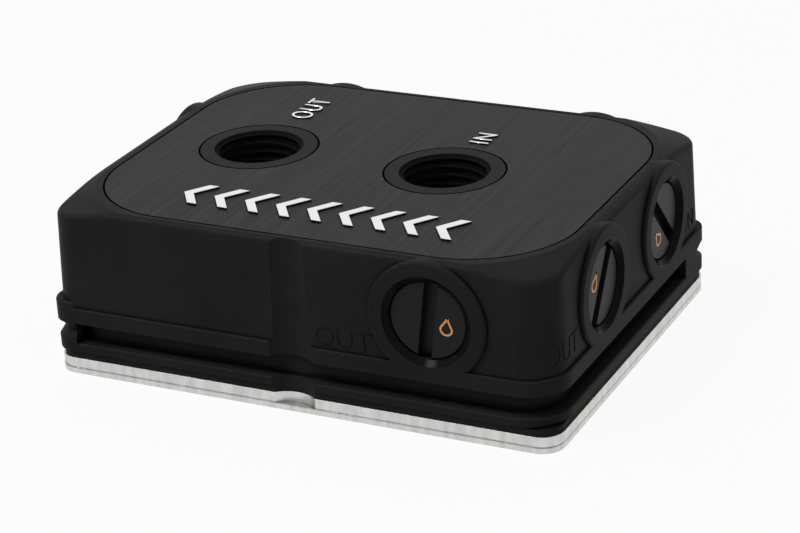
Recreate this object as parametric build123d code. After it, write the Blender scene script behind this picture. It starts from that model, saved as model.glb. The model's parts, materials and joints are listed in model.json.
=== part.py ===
from build123d import *
from math import radians, tan
import os

# Liquid cooling cold plate: a metal base with fins under a moulded manifold housing.
# Millimetres. X runs along the long side, Y across it and Z up.
# The origin is the middle of the flat cold face, which rests on the heat source.

# Cold plate
base_length = 78.0
base_width = 59.0
base_thickness = 2.4
base_corner_radius = 3.2
base_foot_height = 0.87
base_step = 0.1
base_notch_radius = 5.1
base_notch_depth = 1.2

# Skived fin field on the cold plate and the jet plate that feeds it
fin_height = 3.0
fin_thickness = 0.5
fin_gap = 0.7
collector_end_room = 7.2
collector_side_room = 1.7
jet_plate_thickness = 0.8
jet_plate_margin = 0.8
jet_slot_end_distance = 5.8
jet_slot_width = 1.4
jet_gasket_thickness = 0.8
jet_gasket_band = 4.5

# Housing, from the joint with the cold plate up to the lid
housing_height = 25.5
lip_inset = 0.22
lip_height = 0.93
flange_overhang = 0.05
flange_height = 1.47
groove_height = 3.15
groove_inset = 2.0
rib_overhang = 0.1
rib_height = 2.35
band_edge_radius = 0.3
wall_inset = 0.35
wall_draft = 1.0
wall_corner_radius = 5.5
wall_lug_radius_low = 3.8
wall_lug_radius_high = 4.4
plain_corner_radius = 6.0
lug_corner_radius = 3.0
lug_waist_radius = 6.6
lug_waist_rise = 1.3
lug_length = 4.1
lug_width = 9.3
lug_pad_rise = 0.9
lug_pad_edge_radius = 0.5
side_notch_radius = 4.6
side_notch_depth = 1.5
top_edge_radius = 0.9

# Roof: flat in the middle and falling gently towards the corners
roof_end_margin = 1.3
roof_side_overrun = 0.4
roof_flat_radius = 16.5
roof_slope = 0.25
roof_slope_run = 8.0

# Lid plate let into the roof on a bonding sheet
lid_end_margin = 3.1
lid_side_margin = 2.3
lid_corner_radius = 14.8
lid_thickness = 1.5
lid_gap = 0.3
bond_thickness = 0.2
bond_margin = 1.0

# Ports in the roof
port_thread_radius = 6.58
port_floor = 2.0
port_collar_radius = 8.64
port_row_y = 0.9
outlet_port_x = -20.1
inlet_port_x = 10.0

# Water spaces inside
chamber_wall = 1.8
chamber_corner_radius = 4.0
inlet_pocket_height = 2.0
inlet_passage_radius = 3.5
outlet_well_length = 5.4
outlet_well_width = 10.0
outlet_well_edge = 0.8
outlet_gallery_radius = 3.5
inlet_gallery_radius = 5.0

# Side ports, each closed by a flush slotted plug with a sealing ring
boss_radius = 8.75
boss_below_roof = 8.7
boss_edge_radius = 0.5
boss_root_spare = 0.95
front_boss_from_end = 18.2
back_inlet_boss_from_end = 17.0
back_outlet_boss_from_end = 19.2
near_boss_from_side = 18.8
far_boss_from_side = 16.75
side_bore_rim_radius = 6.6
side_bore_radius = 5.77
side_bore_depth = 9.0
plug_clearance = 0.1
plug_length = 7.0
plug_recess = 0.8
plug_edge = 0.25
plug_slot_width = 2.05
plug_slot_depth = 1.3
ring_height = 1.5
ring_depth = 4.4
ring_squeeze_gap = 0.05
ring_section = 1.2
ring_edge = 0.4

# Seal between cold plate and housing
seal_edge_distance = 10.2
seal_corner_radius = 4.0
seal_band = 1.8
seal_height = 1.4
seal_side_gap = 0.1
seal_edge = 0.4

# Countersunk screws driven from below
screw_edge_distance = 6.0
screw_middle_x = 14.0
screw_radius = 1.45
screw_head_radius = 2.75
screw_head_height = 1.5
screw_length = 8.0
screw_sink = 0.15
screw_clearance = 0.1
screw_socket_radius = 1.15
screw_socket_depth = 1.1
screw_hole_spare = 0.8

# Heights of the stack, worked out from the sizes above
flange_bottom = base_thickness + lip_height
groove_bottom = flange_bottom + flange_height
groove_top = groove_bottom + groove_height
rib_top = groove_top + rib_height
fin_top = base_thickness + fin_height
jet_plate_top = fin_top + jet_plate_thickness
chamber_top = jet_plate_top + jet_gasket_thickness
inlet_pocket_top = chamber_top + inlet_pocket_height
port_bottom = inlet_pocket_top + port_floor
port_depth = housing_height - port_bottom
lid_bottom = housing_height - lid_thickness
bond_bottom = lid_bottom - bond_thickness
lid_length = base_length - 2 * lid_end_margin
lid_width = base_width - 2 * lid_side_margin
seal_length = base_length - 2 * seal_edge_distance
seal_width = base_width - 2 * seal_edge_distance
chamber_inset = seal_band + 2 * seal_side_gap + 2 * chamber_wall
chamber_length = seal_length - chamber_inset
chamber_width = seal_width - chamber_inset
jet_plate_length = chamber_length - 2 * collector_end_room
jet_plate_width = chamber_width - 2 * collector_side_room
jet_slot_length = jet_plate_length - 2 * jet_slot_end_distance
fin_field_length = jet_plate_length - 2 * jet_plate_margin
fin_field_width = jet_plate_width - 2 * jet_plate_margin
boss_face_x = base_length / 2 + rib_overhang
boss_face_y = base_width / 2 + rib_overhang
boss_height = housing_height - boss_below_roof
front_boss_x = base_length / 2 - front_boss_from_end
back_inlet_boss_x = base_length / 2 - back_inlet_boss_from_end
back_outlet_boss_x = back_outlet_boss_from_end - base_length / 2
boss_near_y = near_boss_from_side - base_width / 2
boss_far_y = base_width / 2 - far_boss_from_side
boss_root = rib_overhang + groove_inset + boss_root_spare
plug_radius = side_bore_radius - plug_clearance

# Each side port: name, place on the wall, outward direction, turn of the plug's slot in degrees
side_ports = [
    ("front", (front_boss_x, -boss_face_y, boss_height), (0, -1, 0), -8),
    ("right_near", (boss_face_x, boss_near_y, boss_height), (1, 0, 0), -33),
    ("right_far", (boss_face_x, boss_far_y, boss_height), (1, 0, 0), 42),
    ("back_right", (back_inlet_boss_x, boss_face_y, boss_height), (0, 1, 0), 25),
    ("back_left", (back_outlet_boss_x, boss_face_y, boss_height), (0, 1, 0), -60),
    ("left", (-boss_face_x, boss_far_y, boss_height), (-1, 0, 0), 75),
]

on_top = (Align.CENTER, Align.CENTER, Align.MIN)
below = (Align.CENTER, Align.CENTER, Align.MAX)


def plain_block(length, width, radius, bottom, height, taper=0):
    """Upright block with four equal corner radii."""
    return extrude(Pos(0, 0, bottom) * RectangleRounded(length, width, radius), height, taper=taper)


def lug_outline(overhang, lug_radius=lug_corner_radius, plain_radius=plain_corner_radius):
    """Outline round the cold plate with tight corners at the two lugs and wide ones at the other two."""
    sketch = Rectangle(base_length + 2 * overhang, base_width + 2 * overhang)
    lugs = [corner for corner in sketch.vertices() if corner.X * corner.Y > 0]
    sketch = fillet(lugs, lug_radius)
    plain = [corner for corner in sketch.vertices() if corner.X * corner.Y < 0]
    return fillet(plain, plain_radius)


def lug_block(overhang, bottom, height):
    """Slice of the housing's outer form, standing out over the cold plate by the overhang."""
    return extrude(Pos(0, 0, bottom) * lug_outline(overhang), height)


def port_frame(place, outward):
    """Frame of a side port: local Z points out of the wall and local Y points up."""
    sideways = (-outward[1], outward[0], 0)
    return Plane(origin=place, x_dir=sideways, z_dir=outward).location


def corner_lugs():
    """Two lugs that stop the bracket groove, with a rounder waist that leaves a V notch at each corner."""
    lug_bottom = flange_bottom + band_edge_radius
    waist = groove_top - lug_waist_rise
    waist_bottom = waist - lug_waist_rise
    nose = lug_outline(flange_overhang)
    narrow = Pos(0, 0, waist) * lug_outline(flange_overhang, lug_waist_radius)
    post = extrude(Pos(0, 0, lug_bottom) * nose, waist_bottom - lug_bottom)
    post += loft([Pos(0, 0, waist_bottom) * nose, narrow], ruled=True)
    post += loft([narrow, Pos(0, 0, groove_top) * nose], ruled=True)
    reach_x = base_length / 2 + flange_overhang
    reach_y = base_width / 2 + flange_overhang
    corner = Box(lug_length, lug_width, groove_top - lug_bottom, align=(Align.MAX, Align.MAX, Align.MIN))
    corner = Pos(reach_x, reach_y, lug_bottom) * corner
    corners = corner + Rot(0, 0, 180) * corner
    return post & corners


def lug_pad():
    """Round pad that raises the rib at the front left lug."""
    pad = Cylinder(lug_corner_radius, rib_height + lug_pad_rise, align=on_top)
    pad = fillet(pad.edges().group_by(Axis.Z)[-1], lug_pad_edge_radius)
    pad_x = base_length / 2 + rib_overhang - lug_corner_radius
    pad_y = base_width / 2 + rib_overhang - lug_corner_radius
    return Pos(-pad_x, -pad_y, groove_top) * pad


def wall_block():
    """Drafted wall with the sloping roof and a rounded top edge."""
    wall_height = housing_height - groove_top
    lean = wall_height * tan(radians(wall_draft))
    low = lug_outline(-wall_inset, wall_lug_radius_low, wall_corner_radius)
    high = lug_outline(-wall_inset - lean, wall_lug_radius_high, wall_corner_radius)
    wall = loft([Pos(0, 0, groove_top) * low, Pos(0, 0, housing_height) * high], ruled=True)
    flat_length = base_length - 2 * (wall_inset + lean + roof_end_margin)
    flat_width = base_width - 2 * (wall_inset + lean - roof_side_overrun)
    drop = roof_slope_run * roof_slope
    flat = Pos(0, 0, housing_height) * RectangleRounded(flat_length, flat_width, roof_flat_radius)
    wide = RectangleRounded(flat_length + 2 * roof_slope_run, flat_width + 2 * roof_slope_run,
                            roof_flat_radius + roof_slope_run)
    roof = loft([Pos(0, 0, housing_height - drop) * wide, flat], ruled=True)
    under = Box(2 * base_length, 2 * base_width, housing_height - drop, align=on_top)
    wall = wall & (under + roof)
    roof_faces = [face for face in wall.faces() if face.normal_at().Z > 0.5]
    side_faces = [face for face in wall.faces() if abs(face.normal_at().Z) < 0.5]
    roof_edges = [edge for face in roof_faces for edge in face.edges()]
    side_edges = [edge for face in side_faces for edge in face.edges()]
    return fillet([edge for edge in roof_edges if edge in side_edges], top_edge_radius)


def side_notches(radius, depth, edge, bottom, height):
    """Cutters for the round notches in the middle of both long sides."""
    cutter = Cylinder(radius, height, align=on_top)
    offset = edge + radius - depth
    return Pos(0, -offset, bottom) * cutter + Pos(0, offset, bottom) * cutter


def screw_places():
    """Ten places round the edge, clear of the side notches."""
    edge_x = base_length / 2 - screw_edge_distance
    edge_y = base_width / 2 - screw_edge_distance
    places = [(x, y) for x in (-edge_x, -screw_middle_x, screw_middle_x, edge_x) for y in (-edge_y, edge_y)]
    return places + [(-edge_x, 0), (edge_x, 0)]


def seal_ring(side_gap, height):
    """Racetrack band of the main seal, grown by a gap on both sides for its groove."""
    outer_grow = seal_band / 2 + side_gap
    outer = RectangleRounded(seal_length + 2 * outer_grow, seal_width + 2 * outer_grow,
                             seal_corner_radius + outer_grow)
    inner = RectangleRounded(seal_length - 2 * outer_grow, seal_width - 2 * outer_grow,
                             seal_corner_radius - outer_grow)
    return extrude(Pos(0, 0, base_thickness) * (outer - inner), height)


def water_spaces():
    """Chamber over the fins, inlet pocket, outlet well, roof ports and galleries behind the side ports."""
    spaces = plain_block(chamber_length, chamber_width, chamber_corner_radius, base_thickness,
                         chamber_top - base_thickness)
    pocket_length = jet_plate_length - 2 * jet_gasket_band
    pocket_width = jet_plate_width - 2 * jet_gasket_band
    spaces += Pos(0, 0, chamber_top) * Box(pocket_length, pocket_width, inlet_pocket_height, align=on_top)
    passage = Cylinder(inlet_passage_radius, port_bottom - inlet_pocket_top, align=on_top)
    spaces += Pos(inlet_port_x, port_row_y, inlet_pocket_top) * passage
    well = Box(outlet_well_length, outlet_well_width, port_bottom - chamber_top,
               align=(Align.MIN, Align.CENTER, Align.MIN))
    well_x = outlet_well_edge - chamber_length / 2
    spaces += Pos(well_x, port_row_y, chamber_top) * well
    for port_x in (inlet_port_x, outlet_port_x):
        bore = Cylinder(port_thread_radius, port_depth, align=below)
        spaces += Pos(port_x, port_row_y, housing_height) * bore
    return spaces + galleries()


def galleries():
    """Cross drillings that join the side ports to the roof ports."""
    back_end = boss_face_y - side_bore_depth
    inlet = Cylinder(inlet_gallery_radius, 2 * back_end)
    spaces = Pos(front_boss_x, 0, boss_height) * Rot(90, 0, 0) * inlet
    outlet = Cylinder(outlet_gallery_radius, back_end - port_row_y, align=below)
    spaces += Pos(back_outlet_boss_x, port_row_y, boss_height) * Rot(90, 0, 0) * outlet
    end_x = boss_face_x - side_bore_depth
    inlet_branch = Rot(0, 90, 0) * Cylinder(outlet_gallery_radius, end_x - front_boss_x, align=on_top)
    for branch_y in (boss_near_y, boss_far_y):
        spaces += Pos(front_boss_x, branch_y, boss_height) * inlet_branch
    outlet_branch = Rot(0, -90, 0) * Cylinder(outlet_gallery_radius, end_x + back_outlet_boss_x, align=on_top)
    return spaces + Pos(back_outlet_boss_x, boss_far_y, boss_height) * outlet_branch


def side_bore():
    """Cutter of one side port with its rim at the origin: 45 degree lead-in and plain threaded depth."""
    lead = side_bore_rim_radius - side_bore_radius
    cone = Cone(side_bore_radius, side_bore_rim_radius, lead, align=below)
    return Cylinder(side_bore_radius, side_bore_depth, align=below) + cone


def make_housing():
    body = plain_block(base_length - 2 * lip_inset, base_width - 2 * lip_inset, base_corner_radius,
                       base_thickness, lip_height)
    flange = lug_block(flange_overhang, flange_bottom, flange_height)
    flange_edges = flange.edges().group_by(Axis.Z)
    body += fillet(flange_edges[0] + flange_edges[-1], band_edge_radius)
    body += plain_block(base_length - 2 * groove_inset, base_width - 2 * groove_inset, wall_corner_radius,
                        groove_bottom, groove_height)
    body += corner_lugs()
    rib = lug_block(rib_overhang, groove_top, rib_height)
    body += fillet(rib.edges().group_by(Axis.Z)[-1], band_edge_radius) + lug_pad()
    body += wall_block()
    body -= side_notches(side_notch_radius, side_notch_depth, base_width / 2 + rib_overhang, 0,
                         2 * housing_height)
    for name, place, outward, turn in side_ports:
        boss = Cylinder(boss_radius, boss_root, align=below)
        boss = fillet(boss.edges().group_by(Axis.Z)[-1], boss_edge_radius)
        body += port_frame(place, outward) * boss
    recess = plain_block(lid_length + 2 * lid_gap, lid_width + 2 * lid_gap, lid_corner_radius + lid_gap,
                         bond_bottom, 2 * lid_thickness)
    for port_x in (inlet_port_x, outlet_port_x):
        recess -= Pos(port_x, port_row_y, bond_bottom) * Cylinder(port_collar_radius, 2 * lid_thickness,
                                                                 align=on_top)
    body -= recess
    body -= water_spaces()
    for name, place, outward, turn in side_ports:
        body -= port_frame(place, outward) * side_bore()
    body -= seal_ring(seal_side_gap, seal_height)
    hole_top = screw_sink + screw_length + screw_hole_spare
    hole = Cylinder(screw_radius + screw_clearance, hole_top, align=on_top)
    for x, y in screw_places():
        body -= Pos(x, y, 0) * hole
    return body


def make_cold_plate():
    plate = plain_block(base_length, base_width, base_corner_radius, 0, base_foot_height)
    upper = plain_block(base_length, base_width - 2 * base_step, base_corner_radius,
                        base_foot_height, base_thickness - base_foot_height)
    plate += upper - side_notches(base_notch_radius, base_notch_depth, base_width / 2,
                                  base_foot_height, base_thickness)
    count = int((fin_field_length + fin_gap) // (fin_thickness + fin_gap))
    fin = Box(fin_thickness, fin_field_width, fin_height, align=on_top)
    for index in range(count):
        x = (index - (count - 1) / 2) * (fin_thickness + fin_gap)
        plate += Pos(x, 0, base_thickness) * fin
    sink = Cone(screw_head_radius + screw_clearance + screw_sink, screw_radius + screw_clearance,
                screw_head_height + screw_sink, align=on_top)
    hole = Cylinder(screw_radius + screw_clearance, base_thickness, align=on_top)
    for x, y in screw_places():
        plate -= Pos(x, y, 0) * (sink + hole)
    return plate


def make_lid():
    plate = plain_block(lid_length, lid_width, lid_corner_radius, lid_bottom, lid_thickness)
    for port_x in (inlet_port_x, outlet_port_x):
        hole = Cylinder(port_collar_radius + lid_gap, lid_thickness, align=on_top)
        plate -= Pos(port_x, port_row_y, lid_bottom) * hole
    return plate


def make_bond():
    sheet = plain_block(lid_length - 2 * bond_margin, lid_width - 2 * bond_margin,
                        lid_corner_radius - bond_margin, bond_bottom, bond_thickness)
    for port_x in (inlet_port_x, outlet_port_x):
        hole = Cylinder(port_collar_radius + bond_margin, bond_thickness, align=on_top)
        sheet -= Pos(port_x, port_row_y, bond_bottom) * hole
    return sheet


def make_jet_plate():
    plate = Pos(0, 0, fin_top) * Box(jet_plate_length, jet_plate_width, jet_plate_thickness, align=on_top)
    slot = extrude(Pos(0, 0, fin_top) * SlotOverall(jet_slot_length, jet_slot_width), jet_plate_thickness)
    return plate - slot


def make_jet_gasket():
    frame = Rectangle(jet_plate_length, jet_plate_width)
    frame -= Rectangle(jet_plate_length - 2 * jet_gasket_band, jet_plate_width - 2 * jet_gasket_band)
    return extrude(Pos(0, 0, jet_plate_top) * frame, jet_gasket_thickness)


def make_seal():
    ring = seal_ring(0, seal_height)
    top = ring.edges().group_by(Axis.Z)[-1]
    bottom = ring.edges().group_by(Axis.Z)[0]
    return chamfer(top + bottom, seal_edge)


def make_screws():
    head = Cone(screw_head_radius, screw_radius, screw_head_height, align=on_top)
    shank = Cylinder(screw_radius, screw_length, align=on_top)
    socket = extrude(RegularPolygon(screw_socket_radius, 6), screw_socket_depth)
    screw = head + shank - socket
    return Compound([Pos(x, y, screw_sink) * screw for x, y in screw_places()])


def make_plug(turn):
    body = Cylinder(plug_radius, plug_length, align=below)
    body = chamfer(body.edges().group_by(Axis.Z)[-1], plug_edge)
    core = Cylinder(plug_radius - ring_section, ring_height)
    gland = Cylinder(side_bore_radius, ring_height) - core
    body -= Pos(0, 0, -ring_depth - ring_height / 2) * gland
    slot = Box(plug_slot_width, 2 * side_bore_radius, 2 * plug_slot_depth)
    return body - Rot(0, 0, turn) * slot


def make_plug_ring():
    outer = side_bore_radius - ring_squeeze_gap
    inner = plug_radius - ring_section + ring_squeeze_gap
    height = ring_height - 2 * ring_squeeze_gap
    section = chamfer(Rectangle(outer - inner, height).vertices(), ring_edge)
    section = Plane.XZ * Pos((outer + inner) / 2, 0) * section
    return Pos(0, 0, -ring_depth - ring_height / 2) * revolve(section, Axis.Z)


os.makedirs("parts", exist_ok=True)
pieces = {
    "housing": make_housing(),
    "cold_plate": make_cold_plate(),
    "lid_plate": make_lid(),
    "lid_bonding_sheet": make_bond(),
    "jet_plate": make_jet_plate(),
    "jet_gasket": make_jet_gasket(),
    "main_seal": make_seal(),
    "base_screws": make_screws(),
}
for name, place, outward, turn in side_ports:
    seat = port_frame(place, outward) * Pos(0, 0, -plug_recess)
    pieces[name + "_plug"] = seat * make_plug(turn)
    pieces[name + "_plug_ring"] = seat * make_plug_ring()

for name, piece in pieces.items():
    export_step(piece, "parts/" + name + ".step")
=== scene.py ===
# Looks of a liquid cooling cold plate, built round its packed construction model. Metres throughout.
import json
from math import ceil, cos, pi, radians, sin, tau

import bmesh
import bpy
from bpy.props import FloatProperty, FloatVectorProperty, IntProperty, PointerProperty, StringProperty
from bpy.types import Operator, Panel, PropertyGroup
from mathutils import Matrix, Vector
from mathutils.bvhtree import BVHTree


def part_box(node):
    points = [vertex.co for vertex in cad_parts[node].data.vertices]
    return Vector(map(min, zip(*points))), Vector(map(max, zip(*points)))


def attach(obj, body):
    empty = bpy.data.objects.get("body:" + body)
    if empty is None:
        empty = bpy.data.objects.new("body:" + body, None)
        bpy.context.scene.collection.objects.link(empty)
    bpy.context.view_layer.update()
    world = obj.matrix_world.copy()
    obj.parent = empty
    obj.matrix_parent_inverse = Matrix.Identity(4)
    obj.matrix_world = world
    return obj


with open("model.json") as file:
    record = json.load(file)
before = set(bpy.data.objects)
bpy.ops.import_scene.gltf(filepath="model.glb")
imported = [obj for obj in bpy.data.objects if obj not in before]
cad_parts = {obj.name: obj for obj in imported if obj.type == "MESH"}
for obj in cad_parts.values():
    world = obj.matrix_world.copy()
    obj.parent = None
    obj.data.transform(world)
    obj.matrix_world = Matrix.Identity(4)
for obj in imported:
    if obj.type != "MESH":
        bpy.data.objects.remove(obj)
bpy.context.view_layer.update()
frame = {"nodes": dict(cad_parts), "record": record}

bl_info = {
    "name": "Cold Plate Looks",
    "version": (1, 0, 0),
    "blender": (4, 5, 0),
    "location": "3D View > Sidebar > Cold Plate",
    "description": "Finishes, port threads, words and marks for a liquid cooling cold plate",
    "category": "Object",
}

MM = 0.001
MOUNTS = {mount["name"]: mount for mount in frame["record"]["mounts"]}
NODES = frame["nodes"]
BODY = "root"

# Edges that turn by less than this are shaded smooth on turned pieces.
SMOOTH_TURN = radians(25)
# Edges that turn by more than this are rounded on the flow arrows.
SHARP_TURN = radians(40)

# Each plug: outward direction, turn of its slot in degrees, and the side of the slot with the sign
PLUGS = {
    "front_plug": ((0, -1, 0), -8, 1),
    "right_near_plug": ((1, 0, 0), -33, -1),
    "right_far_plug": ((1, 0, 0), 42, -1),
    "back_right_plug": ((0, 1, 0), 25, 1),
    "back_left_plug": ((0, 1, 0), -60, 1),
    "left_plug": ((-1, 0, 0), 75, 1),
}

# Each thin word on a wall: its middle, outward direction, and length and height, in millimetres
WALL_WORDS = [
    ("OUT", (8.15, -29.08, 12.2), (0, -1, 0), (8.35, 2.5)),
    ("OUT", (38.56, -23.9, 13.2), (1, 0, 0), (7.4, 2.85)),
    ("IN", (38.56, 22.9, 12.9), (1, 0, 0), (3.1, 2.5)),
]


def millimetres(name, default, description):
    """A length setting whose default is given in millimetres."""
    return FloatProperty(name=name, description=description, default=default * MM, min=0.0,
                         precision=6, subtype="DISTANCE", unit="LENGTH")


def swatch(name, default, description):
    """A colour setting, written as an sRGB hex value."""
    return StringProperty(name=name, description=description, default=default)


class ThreadSettings(PropertyGroup):
    pitch: millimetres("Pitch", 1.337, "Distance from one thread turn to the next")
    crest_radius: millimetres("Crest radius", 5.85, "Radius left open between the thread's crests")
    root_radius: millimetres("Root radius", 6.12, "Radius at the bottom of the grooves")
    flank_run: millimetres("Flank run", 0.17, "Height of each flank between root and crest")
    crest_width: millimetres("Crest width", 0.25, "Width of the flat on each crest")
    lead_depth: millimetres("Lead-in depth", 0.62, "Depth of the smooth ring above the first turn")
    lead_taper: millimetres("Lead-in taper", 0.2, "How much narrower the lead-in is at its foot")
    depth: millimetres("Threaded depth", 9.6, "Depth of the last turn under the rim")
    steps: IntProperty(name="Steps a turn", description="Facets in one turn", default=72, min=12)


class WordSettings(PropertyGroup):
    outlet_height: millimetres("Outlet word height", 3.35, "Height of the outlet's raised word")
    inlet_height: millimetres("Inlet word height", 2.95, "Height of the inlet's raised word")
    spacing: FloatProperty(name="Letter spacing", default=1.18, min=0.5,
                           description="Letter spacing as a share of the usual one")
    stroke_change: FloatProperty(name="Stroke change", default=-0.008,
                                 description="How much bolder than usual the letters are drawn")
    relief: millimetres("Relief", 0.22, "How far the words stand out of the lid")
    outlet_x: FloatProperty(name="Outlet word X", description="Middle of the outlet's word along X",
                            default=-19.9 * MM, precision=6, unit="LENGTH")
    outlet_y: millimetres("Outlet word Y", 17.05, "Middle of the outlet's word across the lid")
    outlet_length: millimetres("Outlet word length", 8.1, "Length of the outlet's word")
    inlet_x: millimetres("Inlet word X", 10.3, "Middle of the inlet's word along X")
    inlet_y: millimetres("Inlet word Y", 13.75, "Middle of the inlet's word across the lid")
    inlet_length: millimetres("Inlet word length", 3.75, "Length of the inlet's word")
    wall_gap: FloatProperty(name="Wall letter gap", default=0.3, min=0.0,
                            description="Gap between the thin letters, as a share of an O's width")
    wall_step: millimetres("Wall step", 0.4, "Longest straight run of a moulded line")
    wall_fall: millimetres("Wall fall", 1.0, "How far a corner falls back before a line ends on it")
    wall_line: millimetres("Wall line width", 0.2, "Width of the line that draws a wall's word")


class FlowMarkSettings(PropertyGroup):
    length: millimetres("Length", 43.0, "Length of the row of flow arrows")
    height: millimetres("Height", 6.6, "Height of each arrow")
    centre_y: FloatProperty(name="Row Y", description="Middle of the row across the lid",
                            default=-18.6 * MM, precision=6, unit="LENGTH")
    stroke: millimetres("Stroke", 1.55, "Width of an arrow's two strokes along the row")
    lean: millimetres("Lean", 2.3, "How far an arrow's point stands out of its ends")
    relief: millimetres("Relief", 0.3, "How far the arrows stand out of the lid")
    edge: millimetres("Edge", 0.07, "Rounded edge of the arrows")
    count: IntProperty(name="Count", description="Arrows in the row", default=9, min=1)


class PortLipSettings(PropertyGroup):
    mouth_radius: millimetres("Mouth radius", 6.51, "Radius of a side port's lead-in at the boss face")
    depth: millimetres("Depth", 0.76, "Depth of the 45 degree lead-in, down to the plug")
    # The skin is a dark sheet laid over the lead-in as painted shade.
    skin: millimetres("Skin", 0.12, "Thickness of the cut surface")
    gap: millimetres("Gap", 0.02, "Gap between the plug's face and the lead-in's inner edge")
    steps: IntProperty(name="Steps", description="Facets round a lead-in", default=96, min=24)


class PlugMarkSettings(PropertyGroup):
    height: millimetres("Height", 3.0, "Height of the drop sign on a plug")
    line: millimetres("Line", 0.28, "Width of the line that draws the drop")
    relief: millimetres("Relief", 0.03, "Thickness of the line")
    offset: millimetres("Offset", 2.75, "Distance from the plug's middle, square to its slot")
    bulb: FloatProperty(name="Bulb", default=0.33, min=0.1, max=0.5,
                        description="Radius of the drop's round end, as a share of its height")
    waist: FloatProperty(name="Waist", default=0.8, min=0.0, max=1.0,
                         description="How much the drop narrows towards its point")
    steps: IntProperty(name="Steps", description="Points round a drop", default=32, min=12)


class FinishSettings(PropertyGroup):
    moulding: swatch("Moulded housing", "#1d1d1d", "Black glass-filled nylon")
    plug: swatch("Plugs", "#171717", "Black acetal")
    lid: swatch("Lid", "#3f3f3f", "Black anodised aluminium")
    lid_glance: swatch("Lid at a low angle", "#c8c8c8", "Tint of what the lid reflects at a low angle")
    nickel: swatch("Nickel", "#cdcdcb", "Nickel plating on copper")
    nickel_step: millimetres("Nickel step height", 0.87, "Height of the milled step on the cold plate")
    # Painted shade along the milled step.
    painted_step_shade: millimetres("Painted step shade", 0.16, "Half the height of the dark line along that step")
    sign: swatch("Lid signs", "#e4e4e4", "Polished nickel signs")
    copper: swatch("Plug signs", "#c98a55", "Copper foil")
    rubber: swatch("Seals", "#141414", "Black rubber")
    steel: swatch("Steel", "#a4a5a8", "Zinc plated and rolled steel")
    film: swatch("Bonding film", "#b9b8b2", "Pale acrylic film")
    # Painted shade: how far the surfaces beside a groove or corner darken it.
    painted_shade_reach: millimetres("Painted shade reach", 1.6, "How far a surface darkens the corner beside it")
    # Painted shade: the thread is drawn this much darker than the moulding, for the shade inside the
    # bore.
    thread_painted_shade: FloatProperty(name="Thread shade", default=0.42, min=0.0, max=1.0,
                                description="Shade of the cut thread, as a share of the moulding's")
    # Painted shade: each lead-in round a side plug is drawn this much darker than the moulding.
    lip_painted_shade: FloatProperty(name="Lip shade", default=0.38, min=0.0, max=1.0,
                             description="Shade of a cut lead-in, as a share of the moulding's")


class StageSettings(PropertyGroup):
    camera_place: FloatVectorProperty(name="Camera place", description="Where the camera stands",
                                      default=(0.16021, -0.30896, 0.16332), precision=6,
                                      subtype="TRANSLATION", unit="LENGTH")
    camera_aim: FloatVectorProperty(name="Camera aim", default=(-0.4159, 0.8144, -0.4046),
                                    description="Direction in which the camera looks", precision=6,
                                    subtype="DIRECTION")
    camera_roll: FloatProperty(name="Camera roll", description="Turn about the line of sight",
                               default=radians(-3.27), subtype="ANGLE", unit="ROTATION")
    lens: FloatProperty(name="Lens", description="Focal length in millimetres on a 36 mm wide sensor",
                        default=117.33, min=10.0, unit="CAMERA")
    floor_width: millimetres("Floor width", 3000.0, "Side of the square floor")
    floor_colour: swatch("Floor", "#b8b8b8", "Pale grey floor that takes the shadow")
    floor_white: FloatProperty(name="Floor white", description="Share of white that the floor shows",
                               default=0.93, min=0.0, max=1.0)
    sky: FloatProperty(name="Sky", description="Strength of the even light from all round",
                       default=0.7, min=0.0)
    light_aim: FloatVectorProperty(name="Light aim", description="Where both lights point",
                                   default=(0.0, 0.0, 0.01), subtype="TRANSLATION", unit="LENGTH")
    key_place: FloatVectorProperty(name="Key light place", description="Above, in front and to the left",
                                   default=(-0.35, -0.32, 0.68), subtype="TRANSLATION", unit="LENGTH")
    key_width: millimetres("Key light width", 240.0, "Side of the square light above")
    key_power: FloatProperty(name="Key light", description="Power of the light above",
                             default=4.5, min=0.0, subtype="POWER")
    side_place: FloatVectorProperty(name="Side light place", description="Low on the right",
                                    default=(0.7, 0.05, 0.3), subtype="TRANSLATION", unit="LENGTH")
    side_width: millimetres("Side light width", 400.0, "Side of the square light on the right")
    side_power: FloatProperty(name="Side light", description="Power of the light on the right",
                              default=0.25, min=0.0, subtype="POWER")


def linear(swatch_hex):
    """Linear RGBA of an sRGB hex colour."""
    channels = [int(swatch_hex[start:start + 2], 16) / 255 for start in (1, 3, 5)]
    return [c / 12.92 if c <= 0.04045 else ((c + 0.055) / 1.055) ** 2.4 for c in channels] + [1.0]


def add_node(tree, kind, links=None, values=None, **settings):
    """Adds a node with its own settings, its linked inputs and its constant inputs."""
    node = tree.nodes.new(kind)
    for name, value in settings.items():
        setattr(node, name, value)
    for socket, value in (values or {}).items():
        node.inputs[socket].default_value = value
    for socket, source in (links or {}).items():
        tree.links.new(source, node.inputs[socket])
    return node


def new_material(name, **constants):
    """An empty node material with one Principled shader that holds the given constants."""
    material = bpy.data.materials.new(name)
    material.use_nodes = True
    tree = material.node_tree
    tree.nodes.clear()
    shader = add_node(tree, "ShaderNodeBsdfPrincipled", values=constants)
    add_node(tree, "ShaderNodeOutputMaterial", links={"Surface": shader.outputs["BSDF"]})
    return material, tree, shader


def pattern(tree, spacing_x, spacing_y, spacing_z, detail=2.0):
    """Noise in object space whose grain has the given size in millimetres along each axis."""
    place = add_node(tree, "ShaderNodeTexCoord").outputs["Object"]
    scale = [1 / (spacing * MM) for spacing in (spacing_x, spacing_y, spacing_z)]
    stretched = add_node(tree, "ShaderNodeMapping", links={"Vector": place}, values={"Scale": scale})
    return add_node(tree, "ShaderNodeTexNoise", links={"Vector": stretched.outputs["Vector"]},
                    values={"Scale": 1.0, "Detail": detail}).outputs["Fac"]


def shaded(colour, factor):
    """The same colour, darker or lighter by a factor."""
    return [channel * factor for channel in colour[:3]] + [1.0]


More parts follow.
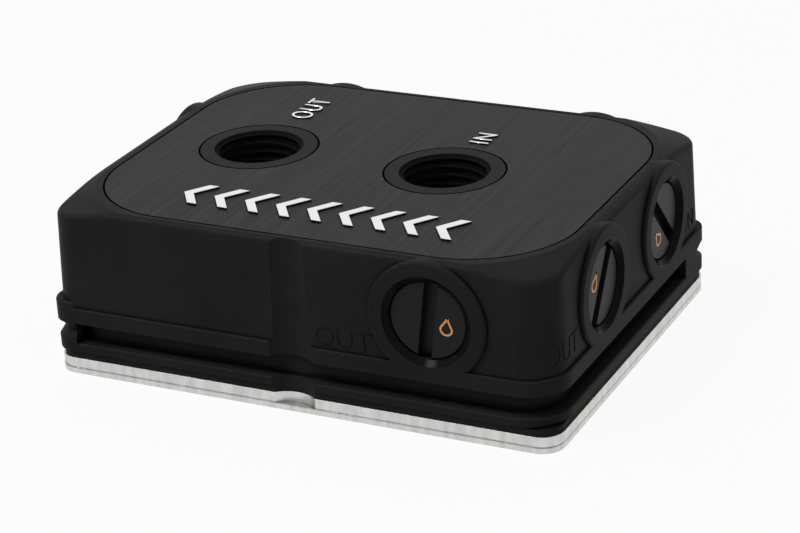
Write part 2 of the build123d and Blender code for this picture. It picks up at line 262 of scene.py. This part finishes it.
def vary(tree, shader, base, tones, tone_pattern, rough, rough_pattern, ends=(0.35, 0.65)):
    """Shades the base colour by one pattern and varies the roughness by another.

    The tones are shares of the base colour, which the pattern reaches at the two ends. The colour
    is also given back, for a finish that darkens it further.
    """
    ramp = add_node(tree, "ShaderNodeValToRGB", links={"Fac": tone_pattern})
    for element, end, tone in zip(ramp.color_ramp.elements, ends, tones):
        element.position = end
        element.color = shaded(base, tone)
    reach = {"From Min": 0.3, "From Max": 0.7, "To Min": rough[0], "To Max": rough[1]}
    varied = add_node(tree, "ShaderNodeMapRange", links={"Value": rough_pattern}, values=reach)
    tree.links.new(ramp.outputs["Color"], shader.inputs["Base Color"])
    tree.links.new(varied.outputs["Result"], shader.inputs["Roughness"])
    return ramp.outputs["Color"]


def darken(tree, shader, colour, value, span, darkest):
    """Paints shade into the colour where the value is low: the darkest share below the span, all of it
    above.
    """
    reach = {"From Min": span[0], "From Max": span[1], "To Min": darkest, "To Max": 1.0}
    share = add_node(tree, "ShaderNodeMapRange", links={"Value": value}, values=reach)
    # Sockets 6 and 7 are the Mix node's two colours, and 2 is the colour that it gives.
    mix = add_node(tree, "ShaderNodeMix", data_type="RGBA", blend_type="MULTIPLY", values={0: 1.0},
                   links={6: colour, 7: share.outputs["Result"]})
    tree.links.new(mix.outputs[2], shader.inputs["Base Color"])


def paint_corner_shade(tree, shader, colour, reach, darkest):
    """Paints shade into grooves and corners that nearby surfaces hide from the light within the reach.
    """
    open_share = add_node(tree, "ShaderNodeAmbientOcclusion", values={"Distance": reach}, samples=8)
    darken(tree, shader, colour, open_share.outputs["AO"], (0.45, 0.9), darkest)


def relief(tree, shader, height, depth_mm, edge_mm=0.0):
    """Gives the surface a pattern's relief with the given depth, on edges softened to a radius."""
    bump = add_node(tree, "ShaderNodeBump", links={"Height": height},
                    values={"Strength": 1.0, "Distance": depth_mm * MM})
    if edge_mm:
        soft = add_node(tree, "ShaderNodeBevel", values={"Radius": edge_mm * MM}, samples=4)
        tree.links.new(soft.outputs["Normal"], bump.inputs["Normal"])
    tree.links.new(bump.outputs["Normal"], shader.inputs["Normal"])


def moulded_nylon(settings):
    """Glass-filled nylon, injection moulded: near black, with a satin eroded grain and soft edges."""
    material, tree, shader = new_material("moulded_nylon", **{"IOR": 1.5, "Specular IOR Level": 0.022})
    base = linear(settings.moulding)
    cloud = pattern(tree, 9.0, 9.0, 9.0, 3.0)
    grain = pattern(tree, 0.22, 0.22, 0.22, 2.0)
    skin = vary(tree, shader, base, (0.92, 1.1), cloud, (0.4, 0.5), grain)
    # Painted shade: darker in grooves and corners that nearby surfaces hide from the light.
    paint_corner_shade(tree, shader, skin, settings.painted_shade_reach, 0.15)
    relief(tree, shader, grain, 0.004, 0.12)
    return material


def thread_nylon_painted_shade(settings):
    """Cut thread in the same nylon: matt, and drawn darker than the moulded skin as painted shade, so
    the bores look deep.
    """
    material, tree, shader = new_material("thread_nylon_painted_shade", **{"IOR": 1.5, "Specular IOR Level": 0.01})
    base = shaded(linear(settings.moulding), settings.thread_painted_shade)
    grain = pattern(tree, 0.3, 0.3, 0.3, 2.0)
    vary(tree, shader, base, (0.85, 1.15), grain, (0.5, 0.62), grain)
    relief(tree, shader, grain, 0.006, 0.1)
    return material


def lip_nylon_painted_shade(settings):
    """Nylon cut by a countersink at a side port's mouth: smooth, drawn black as painted shade, with a
    sharp highlight.
    """
    material, tree, shader = new_material("lip_nylon_painted_shade", **{"IOR": 1.5, "Specular IOR Level": 0.02})
    base = shaded(linear(settings.moulding), settings.lip_painted_shade)
    grain = pattern(tree, 0.25, 0.25, 0.25, 2.0)
    vary(tree, shader, base, (0.8, 1.2), grain, (0.14, 0.2), grain)
    return material


def machined_acetal(settings):
    """Turned acetal plug: a little paler and smoother than the housing, with faint facing marks."""
    material, tree, shader = new_material("machined_acetal",
                                          **{"IOR": 1.48, "Specular IOR Level": 0.1})
    base = linear(settings.plug)
    grain = pattern(tree, 0.3, 0.3, 0.3, 2.0)
    vary(tree, shader, base, (0.92, 1.1), grain, (0.34, 0.44), grain)
    relief(tree, shader, grain, 0.006, 0.1)
    return material


def brushed_anodised(settings):
    """Aluminium brushed across the lid and dyed black: fine streaks that each catch the light."""
    glance = linear(settings.lid_glance)
    material, tree, shader = new_material("brushed_anodised_aluminium",
                                          **{"Metallic": 1.0, "Specular Tint": glance})
    base = linear(settings.lid)
    # Real brush lines are about 0.05 mm apart. These are drawn 0.17 mm apart, so that they show.
    fine = pattern(tree, 0.17, 16.0, 5.0, 3.0)
    broad = pattern(tree, 0.9, 45.0, 20.0, 2.0)
    both = add_node(tree, "ShaderNodeMath", operation="MULTIPLY_ADD", links={0: fine}, values={1: 0.7})
    share = add_node(tree, "ShaderNodeMath", operation="MULTIPLY", links={0: broad}, values={1: 0.3})
    tree.links.new(share.outputs["Value"], both.inputs[2])
    streak = both.outputs["Value"]
    skin = vary(tree, shader, base, (0.7, 1.14), streak, (0.36, 0.5), streak, ends=(0.36, 0.6))
    # Painted shade: darker where the signs and ports beside the lid hide it from the light.
    paint_corner_shade(tree, shader, skin, settings.painted_shade_reach / 3, 0.1)
    relief(tree, shader, streak, 0.006)
    return material


def nickel_plating(settings):
    """Nickel over milled copper: bright satin metal with fine lines along the milled edge."""
    material, tree, shader = new_material("nickel_plated_copper", Metallic=1.0)
    base = linear(settings.nickel)
    # Mill marks run level round the edge, and faint stains run down it.
    lines = pattern(tree, 6.0, 6.0, 0.12, 3.0)
    streak = pattern(tree, 1.1, 1.1, 5.0, 3.0)
    # The milled step is only 0.1 mm deep, so a line of painted shade is drawn along it, broad enough to
    # show.
    place = add_node(tree, "ShaderNodeTexCoord").outputs["Object"]
    level = add_node(tree, "ShaderNodeSeparateXYZ", links={"Vector": place}).outputs["Z"]
    above = add_node(tree, "ShaderNodeMath", operation="SUBTRACT", links={0: level},
                     values={1: settings.nickel_step})
    away = add_node(tree, "ShaderNodeMath", operation="ABSOLUTE", links={0: above.outputs["Value"]})
    span = (settings.painted_step_shade / 4, settings.painted_step_shade)
    skin = vary(tree, shader, base, (0.88, 1.06), streak, (0.24, 0.4), lines)
    darken(tree, shader, skin, away.outputs["Value"], span, 0.5)
    relief(tree, shader, lines, 0.01, 0.03)
    return material


def polished_sign(settings):
    """Nickel electroform on the lid: bright flat tops, and side walls drawn darker as painted shade."""
    material, tree, shader = new_material("polished_nickel_sign", Metallic=0.85)
    base = linear(settings.sign)
    cloud = pattern(tree, 1.5, 1.5, 1.5, 2.0)
    # Painted shade: side walls that face sideways are drawn near black, and the tops keep the full
    # colour.
    facing = add_node(tree, "ShaderNodeTexCoord").outputs["Normal"]
    painted_side_shade_mask = add_node(tree, "ShaderNodeSeparateXYZ", links={"Vector": facing}).outputs["Z"]
    vary(tree, shader, base, (0.03, 1.0), painted_side_shade_mask, (0.16, 0.24), cloud, ends=(0.3, 0.7))
    return material


def copper_foil(settings):
    """Hot-stamped copper foil on the plugs: warm metal, slightly broken by the grain under it."""
    material, tree, shader = new_material("copper_foil", Metallic=0.7)
    base = linear(settings.copper)
    grain = pattern(tree, 0.25, 0.25, 0.25, 2.0)
    vary(tree, shader, base, (0.85, 1.05), grain, (0.3, 0.42), grain)
    return material


def plain_finish(name, colour, rough, metal, grain_mm):
    """A finish for the hidden pieces: one colour with a fine grain."""
    material, tree, shader = new_material(name, Metallic=metal)
    base = linear(colour)
    grain = pattern(tree, grain_mm, grain_mm, grain_mm, 2.0)
    vary(tree, shader, base, (0.88, 1.08), grain, (rough - 0.05, rough + 0.05), grain)
    relief(tree, shader, grain, 0.005)
    return material


def finish_of(name, build, *arguments):
    """The named material, built the first time that it is asked for."""
    return bpy.data.materials.get(name) or build(*arguments)


def coat(node_name, material):
    """Gives a construction node its finish, leaving its mesh as it is."""
    slots = NODES[node_name].data.materials
    slots.clear()
    slots.append(material)


def add_piece(shape, name, material):
    """Turns a finished bmesh into a piece of the object that rides on its one body."""
    mesh = bpy.data.meshes.new(name)
    shape.to_mesh(mesh)
    shape.free()
    mesh.materials.append(material)
    piece = bpy.data.objects.new(name, mesh)
    bpy.context.scene.collection.objects.link(piece)
    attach(piece, BODY)


def shade_turned(shape):
    """Faces outwards and smooth shading, apart from the sharp edges."""
    bmesh.ops.recalc_face_normals(shape, faces=shape.faces)
    for face in shape.faces:
        face.smooth = True
    for edge in shape.edges:
        edge.smooth = edge.calc_face_angle(0.0) < SMOOTH_TURN


def ring_of_points(shape, points):
    """A closed loop of edges through the points."""
    corners = [shape.verts.new(point) for point in points]
    pairs = zip(corners, corners[1:] + corners[:1])
    return corners + [shape.edges.new(pair) for pair in pairs]


def add_lead_in(shape, centre, rim, settings):
    """Steep smooth wall from the rim down to a narrow ledge, where the first turn begins."""
    wall = rim - settings.lead_taper
    ledge = (settings.crest_radius + settings.root_radius) / 2
    step = settings.lead_depth / 5
    section = [(rim, 0, 0), (wall, 0, -3 * step), (ledge, 0, -4 * step), (ledge, 0, -5 * step),
               (rim, 0, -5 * step)]
    loop = ring_of_points(shape, [centre + Vector(point) for point in section])
    bmesh.ops.spin(shape, geom=loop, cent=centre, axis=(0, 0, 1), dvec=(0, 0, 0), angle=tau,
                   steps=settings.steps, use_merge=True)


def add_turns(shape, centre, rim, settings):
    """Right-handed helical ridge inside the bore, closed at both ends."""
    # A little under half the pitch, so that one turn doesn't cut into the next
    half = 0.49 * settings.pitch
    flat = settings.crest_width / 2
    start = centre - Vector((0, 0, settings.depth - half))
    turns = (settings.depth - settings.lead_depth - 2 * half) / settings.pitch
    steps = int(settings.steps * turns)
    root = settings.root_radius
    crest = settings.crest_radius
    foot = flat + settings.flank_run
    section = [(rim, 0, -half), (root, 0, -half), (root, 0, -foot), (crest, 0, -flat),
               (crest, 0, flat), (root, 0, foot), (root, 0, half), (rim, 0, half)]
    loop = ring_of_points(shape, [start + Vector(point) for point in section])
    first = [part for part in loop if isinstance(part, bmesh.types.BMEdge)]
    swept = bmesh.ops.spin(shape, geom=loop, cent=centre, axis=(0, 0, 1),
                           dvec=(0, 0, settings.pitch / settings.steps),
                           angle=tau * steps / settings.steps, steps=steps, use_merge=False)
    last = [part for part in swept["geom_last"] if isinstance(part, bmesh.types.BMEdge)]
    for loop_edges in (first, last):
        bmesh.ops.contextual_create(shape, geom=loop_edges)


def word_mesh(word, size, settings):
    """Mesh of a word in the built-in sans letters, lying in XY with its middle at the origin."""
    curve = bpy.data.curves.new(word, "FONT")
    curve.body = word
    curve.align_x = "CENTER"
    curve.align_y = "CENTER"
    curve.extrude = 0.5
    curve.space_character = settings.spacing
    curve.offset = settings.stroke_change
    curve.resolution_u = 6
    holder = bpy.data.objects.new(word, curve)
    bpy.context.scene.collection.objects.link(holder)
    bpy.context.view_layer.update()
    drawn = holder.evaluated_get(bpy.context.evaluated_depsgraph_get())
    mesh = bpy.data.meshes.new_from_object(drawn)
    shape = bmesh.new()
    shape.from_mesh(mesh)
    bpy.data.objects.remove(holder)
    bpy.data.curves.remove(curve)
    bpy.data.meshes.remove(mesh)
    bmesh.ops.remove_doubles(shape, verts=shape.verts, dist=1e-5)
    low = Vector([min(corner.co[axis] for corner in shape.verts) for axis in range(3)])
    high = Vector([max(corner.co[axis] for corner in shape.verts) for axis in range(3)])
    bmesh.ops.translate(shape, verts=shape.verts, vec=-(low + high) / 2)
    usual = high - low
    spread = (size[0] / usual.x, size[1] / usual.y, settings.relief / usual.z)
    bmesh.ops.scale(shape, verts=shape.verts, vec=spread)
    bmesh.ops.recalc_face_normals(shape, faces=shape.faces)
    return shape


def letter_strokes(letter):
    """Points of each pen stroke of a thin letter one unit high, and the letter's width."""
    if letter == "I":
        return [[(0.1, 0.0), (0.1, 1.0)]], 0.2
    if letter == "N":
        return [[(0.0, 0.0), (0.0, 1.0), (0.75, 0.0), (0.75, 1.0)]], 0.75
    if letter == "T":
        return [[(0.0, 1.0), (0.9, 1.0)], [(0.45, 1.0), (0.45, 0.0)]], 0.9
    arcs = 24
    if letter == "U":
        radius = 0.42
        bowl = [(radius - radius * cos(pi * step / arcs), radius - radius * sin(pi * step / arcs))
                for step in range(arcs + 1)]
        return [[(0.0, 1.0)] + bowl + [(2 * radius, 1.0)]], 2 * radius
    oval = [(0.5 + 0.5 * cos(tau * step / arcs), 0.5 + 0.5 * sin(tau * step / arcs))
            for step in range(arcs + 1)]
    return [oval], 1.0


def add_wall_word(shape, word, place, size, settings, surface):
    """Thin raised lines that draw the word on a wall, with the matrix at the word's middle."""
    letters = [letter_strokes(letter) for letter in word]
    total = sum(width for strokes, width in letters) + settings.wall_gap * (len(word) - 1)
    across = size[0] / total
    start = -size[0] / 2
    for strokes, width in letters:
        for stroke in strokes:
            corners = [Vector((start + x * across, (y - 0.5) * size[1], 0)) for x, y in stroke]
            add_line(shape, laid_on(surface, place, corners, settings), settings.wall_line)
        start += (width + settings.wall_gap) * across


def laid_on(surface, place, corners, settings):
    """Points along a stroke, laid on the wall, with none where the wall turns too far away."""
    outward = place.to_3x3() @ Vector((0, 0, 1))
    reach = settings.wall_fall
    points = []
    for first, second in zip(corners, corners[1:]):
        count = ceil((second - first).length / settings.wall_step)
        points += [first.lerp(second, index / count) for index in range(count)]
    points.append(corners[-1])
    starts = [place @ point + outward * reach for point in points]
    return [surface.ray_cast(start, -outward, 2 * reach)[0] for start in starts]


def add_line(shape, points, width):
    """Round-topped raised line through the points, broken where one is missing."""
    for first, second in zip(points, points[1:]):
        if first is None or second is None:
            continue
        run = second - first
        turn = run.to_track_quat("Z", "Y").to_matrix().to_4x4()
        place = Matrix.Translation((first + second) / 2) @ turn
        overlap = 0.4 * width
        bmesh.ops.create_cone(shape, cap_ends=True, segments=8, radius1=width / 2, radius2=width / 2,
                              depth=run.length + overlap, matrix=place)


def wall_frame(place, outward):
    """Matrix of a spot on a wall: X along the wall, Y up and Z outwards."""
    outward = Vector(outward).normalized()
    up = Vector((0, 0, 1))
    along = up.cross(outward)
    turn = Matrix((along, up, outward)).transposed().to_4x4()
    return Matrix.Translation(place) @ turn


def plug_face(name, outward):
    """Middle of a plug's outer face."""
    low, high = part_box(name)
    reach = ((high - low) / 2).dot([abs(part) for part in outward])
    return (low + high) / 2 + Vector(outward) * reach


class COLDPLATE_OT_threads(Operator):
    """Adds the lead-in and the helical turns of both roof ports"""
    bl_idname = "coldplate.threads"
    bl_label = "Port threads"

    def execute(self, context):
        settings = context.scene.cold_plate_threads
        material = finish_of("thread_nylon_painted_shade", thread_nylon_painted_shade, context.scene.cold_plate_finish)
        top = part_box("lid_plate")[1].z
        for name in ("inlet_port", "outlet_port"):
            mount = MOUNTS[name]
            rim = mount["dims"]["r_mm"] * MM
            centre = Vector((mount["pos_m"][0], mount["pos_m"][1], top))
            shape = bmesh.new()
            add_lead_in(shape, centre, rim, settings)
            add_turns(shape, centre, rim, settings)
            shade_turned(shape)
            add_piece(shape, name + "_thread", material)
        return {"FINISHED"}


class COLDPLATE_OT_port_words(Operator):
    """Adds the raised words that tell the two roof ports apart"""
    bl_idname = "coldplate.port_words"
    bl_label = "Port words"

    def execute(self, context):
        settings = context.scene.cold_plate_words
        material = finish_of("polished_nickel_sign", polished_sign, context.scene.cold_plate_finish)
        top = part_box("lid_plate")[1].z
        words = {
            "OUT": (settings.outlet_x, settings.outlet_y,
                    settings.outlet_length, settings.outlet_height),
            "IN": (settings.inlet_x, settings.inlet_y, settings.inlet_length, settings.inlet_height),
        }
        for word, (x, y, length, height) in words.items():
            shape = word_mesh(word, (length, height), settings)
            turn = Matrix.Rotation(pi / 2, 4, "Z")
            place = Matrix.Translation((x, y, top + settings.relief / 2))
            bmesh.ops.transform(shape, matrix=place @ turn, verts=shape.verts)
            add_piece(shape, "lid_word_" + word.lower(), material)
        return {"FINISHED"}


class COLDPLATE_OT_flow_mark(Operator):
    """Adds the row of raised arrows that show which way the coolant runs"""
    bl_idname = "coldplate.flow_mark"
    bl_label = "Flow arrows"

    def execute(self, context):
        settings = context.scene.cold_plate_flow_mark
        material = finish_of("polished_nickel_sign", polished_sign, context.scene.cold_plate_finish)
        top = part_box("lid_plate")[1].z
        half = settings.height / 2
        reach = settings.stroke + settings.lean
        shape = bmesh.new()
        for index in range(settings.count):
            left = -settings.length / 2 + index * (settings.length - reach) / (settings.count - 1)
            outline = [(0, 0), (settings.lean, half), (reach, half), (settings.stroke, 0),
                       (reach, -half), (settings.lean, -half)]
            corners = [shape.verts.new((left + x, settings.centre_y + y, top)) for x, y in outline]
            back = shape.faces.new(corners[:4])
            front = shape.faces.new([corners[0], corners[3]] + corners[4:])
            raised = bmesh.ops.extrude_face_region(shape, geom=[back, front])["geom"]
            lifted = [part for part in raised if isinstance(part, bmesh.types.BMVert)]
            bmesh.ops.translate(shape, verts=lifted, vec=(0, 0, settings.relief))
        bmesh.ops.recalc_face_normals(shape, faces=shape.faces)
        edges = [edge for edge in shape.edges
                 if edge.is_manifold and edge.calc_face_angle(0.0) > SHARP_TURN
                 and min(corner.co.z for corner in edge.verts) > top + settings.relief / 2]
        bmesh.ops.bevel(shape, geom=edges, offset=settings.edge, affect="EDGES", segments=2,
                        profile=0.5, material=-1)
        add_piece(shape, "lid_flow_arrows", material)
        return {"FINISHED"}


class COLDPLATE_OT_wall_words(Operator):
    """Adds the thin moulded words beside the side ports"""
    bl_idname = "coldplate.wall_words"
    bl_label = "Wall words"

    def execute(self, context):
        settings = context.scene.cold_plate_words
        material = finish_of("moulded_nylon", moulded_nylon, context.scene.cold_plate_finish)
        shape = bmesh.new()
        housing = NODES["housing"].data
        surface = BVHTree.FromPolygons([corner.co for corner in housing.vertices],
                                       [face.vertices[:] for face in housing.polygons])
        for word, middle, outward, size in WALL_WORDS:
            place = wall_frame(Vector(middle) * MM, outward)
            add_wall_word(shape, word, place, Vector(size) * MM, settings, surface)
        for face in shape.faces:
            face.smooth = len(face.verts) == 4
        add_piece(shape, "wall_words", material)
        return {"FINISHED"}


class COLDPLATE_OT_port_lips(Operator):
    """Adds a dark skin over the lead-in round each side plug, as painted shade"""
    bl_idname = "coldplate.port_lips"
    bl_label = "Side port lip shade"

    def execute(self, context):
        settings = context.scene.cold_plate_port_lips
        material = finish_of("lip_nylon_painted_shade", lip_nylon_painted_shade, context.scene.cold_plate_finish)
        shape = bmesh.new()
        outer = settings.mouth_radius
        inner = outer - settings.depth
        skin = settings.skin
        section = [(outer, 0, 0), (inner, 0, -settings.depth), (inner + skin, 0, -settings.depth),
                   (outer + skin, 0, 0)]
        for name in PLUGS:
            outward = PLUGS[name][0]
            mouth = plug_face(name, outward) + Vector(outward) * (settings.depth + settings.gap)
            place = wall_frame(mouth, outward)
            loop = ring_of_points(shape, [place @ Vector(point) for point in section])
            bmesh.ops.spin(shape, geom=loop, cent=mouth, axis=outward, dvec=(0, 0, 0), angle=tau,
                           steps=settings.steps, use_merge=True)
        shade_turned(shape)
        add_piece(shape, "side_port_lip_painted_shade", material)
        return {"FINISHED"}


class COLDPLATE_OT_plug_marks(Operator):
    """Adds a small copper drop sign to each plug, beside its slot"""
    bl_idname = "coldplate.plug_marks"
    bl_label = "Plug signs"

    def execute(self, context):
        settings = context.scene.cold_plate_plug_marks
        material = finish_of("copper_foil", copper_foil, context.scene.cold_plate_finish)
        for name, (outward, turn, side) in PLUGS.items():
            shape = self.drop(settings)
            across = Matrix.Translation((side * settings.offset, 0, 0))
            turned = Matrix.Rotation(radians(turn), 4, "Z") @ across
            place = wall_frame(plug_face(name, outward), outward) @ turned
            bmesh.ops.transform(shape, matrix=place, verts=shape.verts)
            bmesh.ops.recalc_face_normals(shape, faces=shape.faces)
            add_piece(shape, name + "_sign", material)
        return {"FINISHED"}

    def drop(self, settings):
        """Outline of a water drop, lying in XY with its middle at the origin."""
        shape = bmesh.new()
        radius = settings.bulb * settings.height
        bmesh.ops.create_circle(shape, cap_ends=True, segments=settings.steps, radius=radius)
        for corner in shape.verts:
            rise = max(corner.co.y / radius, 0.0)
            corner.co.x *= 1 - settings.waist * rise ** 2
            corner.co.y += rise ** 3 * (settings.height - 2 * radius)
        bmesh.ops.translate(shape, verts=shape.verts, vec=(0, radius - settings.height / 2, 0))
        rim = bmesh.ops.inset_region(shape, faces=shape.faces[:], thickness=settings.line,
                                     use_boundary=True, use_even_offset=True)["faces"]
        middle = [face for face in shape.faces if face not in rim]
        bmesh.ops.delete(shape, geom=middle, context="FACES")
        raised = bmesh.ops.extrude_face_region(shape, geom=shape.faces[:])["geom"]
        lifted = [part for part in raised if isinstance(part, bmesh.types.BMVert)]
        bmesh.ops.translate(shape, verts=lifted, vec=(0, 0, settings.relief))
        return shape


class COLDPLATE_OT_finishes(Operator):
    """Gives every construction piece the material of the real one"""
    bl_idname = "coldplate.finishes"
    bl_label = "Finishes"

    def execute(self, context):
        settings = context.scene.cold_plate_finish
        nylon = finish_of("moulded_nylon", moulded_nylon, settings)
        acetal = finish_of("machined_acetal", machined_acetal, settings)
        # Moulded rubber is matt and near black, and zinc plated steel is a satin grey metal.
        rubber = plain_finish("nitrile_rubber", settings.rubber, 0.6, 0.0, 0.2)
        steel = plain_finish("plated_steel", settings.steel, 0.32, 1.0, 0.3)
        # Cast acrylic film is pale and dull.
        film = plain_finish("acrylic_film", settings.film, 0.5, 0.0, 0.5)
        coat("housing", nylon)
        coat("lid_plate", brushed_anodised(settings))
        coat("cold_plate", nickel_plating(settings))
        coat("lid_bonding_sheet", film)
        for name in ("jet_plate", "base_screws"):
            coat(name, steel)
        for name in NODES:
            if name.endswith("_plug"):
                coat(name, acetal)
            if name.endswith("_ring") or name in ("main_seal", "jet_gasket"):
                coat(name, rubber)
        return {"FINISHED"}


class COLDPLATE_OT_stage(Operator):
    """Sets up the pale floor, the soft lights and the camera"""
    bl_idname = "coldplate.stage"
    bl_label = "Stage"

    def execute(self, context):
        settings = context.scene.cold_plate_stage
        self.floor(settings)
        self.sky(context, settings)
        lamps = {
            "overhead_light": (settings.key_place, settings.key_width, settings.key_power),
            "side_light": (settings.side_place, settings.side_width, settings.side_power),
        }
        for name, (place, width, power) in lamps.items():
            self.lamp(name, Vector(place), Vector(settings.light_aim), width, power)
        self.camera(context, settings)
        view = context.scene.view_settings
        view.view_transform = "Standard"
        return {"FINISHED"}

    def floor(self, settings):
        """Pale floor that keeps the shadow and shows near white to the camera."""
        material = bpy.data.materials.new("pale_floor")
        material.use_nodes = True
        tree = material.node_tree
        tree.nodes.clear()
        diffuse = add_node(tree, "ShaderNodeBsdfDiffuse",
                           values={"Color": linear(settings.floor_colour)})
        glow = add_node(tree, "ShaderNodeEmission", values={"Color": (1, 1, 1, 1), "Strength": 1.0})
        share = add_node(tree, "ShaderNodeMath", operation="MULTIPLY", links={0: self.shown(tree)},
                         values={1: settings.floor_white})
        mix = add_node(tree, "ShaderNodeMixShader",
                       links={0: share.outputs["Value"], 1: diffuse.outputs["BSDF"],
                              2: glow.outputs["Emission"]})
        add_node(tree, "ShaderNodeOutputMaterial", links={"Surface": mix.outputs["Shader"]})
        shape = bmesh.new()
        bmesh.ops.create_grid(shape, x_segments=1, y_segments=1, size=settings.floor_width / 2)
        mesh = bpy.data.meshes.new("floor")
        shape.to_mesh(mesh)
        shape.free()
        mesh.materials.append(material)
        floor = bpy.data.objects.new("floor", mesh)
        bpy.context.scene.collection.objects.link(floor)

    def sky(self, context, settings):
        """Even soft light, with white shown to the camera and in reflections."""
        world = bpy.data.worlds.new("studio")
        context.scene.world = world
        world.use_nodes = True
        tree = world.node_tree
        tree.nodes.clear()
        even = add_node(tree, "ShaderNodeBackground",
                        values={"Color": (1, 1, 1, 1), "Strength": settings.sky})
        white = add_node(tree, "ShaderNodeBackground", values={"Color": (1, 1, 1, 1), "Strength": 1.0})
        mix = add_node(tree, "ShaderNodeMixShader",
                       links={0: self.shown(tree), 1: even.outputs["Background"],
                              2: white.outputs["Background"]})
        add_node(tree, "ShaderNodeOutputWorld", links={"Surface": mix.outputs["Shader"]})

    def shown(self, tree):
        """One for rays that show the background: to the camera, in reflections and through glass."""
        path = add_node(tree, "ShaderNodeLightPath").outputs
        seen = add_node(tree, "ShaderNodeMath", operation="ADD", use_clamp=True,
                        links={0: path["Is Camera Ray"], 1: path["Is Glossy Ray"]})
        shown = add_node(tree, "ShaderNodeMath", operation="ADD", use_clamp=True,
                         links={0: seen.outputs["Value"], 1: path["Is Transmission Ray"]})
        return shown.outputs["Value"]

    def lamp(self, name, place, aim, width, power):
        """Square soft light that faces its aim."""
        light = bpy.data.lights.new(name, "AREA")
        light.shape = "SQUARE"
        light.size = width
        light.energy = power
        holder = bpy.data.objects.new(name, light)
        holder.location = place
        holder.rotation_euler = (aim - place).to_track_quat("-Z", "Y").to_euler()
        bpy.context.scene.collection.objects.link(holder)

    def camera(self, context, settings):
        """Camera at the picture's viewpoint, with the picture's slight roll."""
        ahead = Vector(settings.camera_aim).normalized()
        level = ahead.cross(Vector((0, 0, 1))).normalized()
        upright = level.cross(ahead)
        right = level * cos(settings.camera_roll) + upright * sin(settings.camera_roll)
        above = right.cross(ahead)
        turn = Matrix((right, above, -ahead)).transposed().to_4x4()
        lens = bpy.data.cameras.new("camera")
        lens.lens = settings.lens
        lens.sensor_width = 36.0
        lens.clip_start = 0.01
        camera = bpy.data.objects.new("camera", lens)
        camera.matrix_world = Matrix.Translation(settings.camera_place) @ turn
        bpy.context.scene.collection.objects.link(camera)
        context.scene.camera = camera


class COLDPLATE_PT_panel(Panel):
    """Lists the steps that dress the cold plate"""
    bl_idname = "COLDPLATE_PT_panel"
    bl_label = "Cold Plate"
    bl_space_type = "VIEW_3D"
    bl_region_type = "UI"
    bl_category = "Cold Plate"

    def draw(self, context):
        for operator in OPERATORS:
            self.layout.operator(operator.bl_idname)


SETTINGS = {
    "cold_plate_threads": ThreadSettings,
    "cold_plate_words": WordSettings,
    "cold_plate_flow_mark": FlowMarkSettings,
    "cold_plate_port_lips": PortLipSettings,
    "cold_plate_plug_marks": PlugMarkSettings,
    "cold_plate_finish": FinishSettings,
    "cold_plate_stage": StageSettings,
}
OPERATORS = [COLDPLATE_OT_finishes, COLDPLATE_OT_threads, COLDPLATE_OT_port_words,
             COLDPLATE_OT_flow_mark, COLDPLATE_OT_wall_words, COLDPLATE_OT_port_lips,
             COLDPLATE_OT_plug_marks, COLDPLATE_OT_stage]


def register():
    """Registers the settings, the steps and the panel."""
    for group in SETTINGS.values():
        bpy.utils.register_class(group)
    for name, group in SETTINGS.items():
        setattr(bpy.types.Scene, name, PointerProperty(type=group))
    for operator in OPERATORS:
        bpy.utils.register_class(operator)
    bpy.utils.register_class(COLDPLATE_PT_panel)


def unregister():
    """Takes them all away again."""
    bpy.utils.unregister_class(COLDPLATE_PT_panel)
    for operator in reversed(OPERATORS):
        bpy.utils.unregister_class(operator)
    for name in SETTINGS:
        delattr(bpy.types.Scene, name)
    for group in SETTINGS.values():
        bpy.utils.unregister_class(group)


def main():
    """Dresses the frame step by step."""
    register()
    bpy.ops.coldplate.finishes()
    bpy.ops.coldplate.threads()
    bpy.ops.coldplate.port_words()
    bpy.ops.coldplate.flow_mark()
    bpy.ops.coldplate.wall_words()
    bpy.ops.coldplate.port_lips()
    bpy.ops.coldplate.plug_marks()
    bpy.ops.coldplate.stage()


if __name__ == "__main__":
    main()
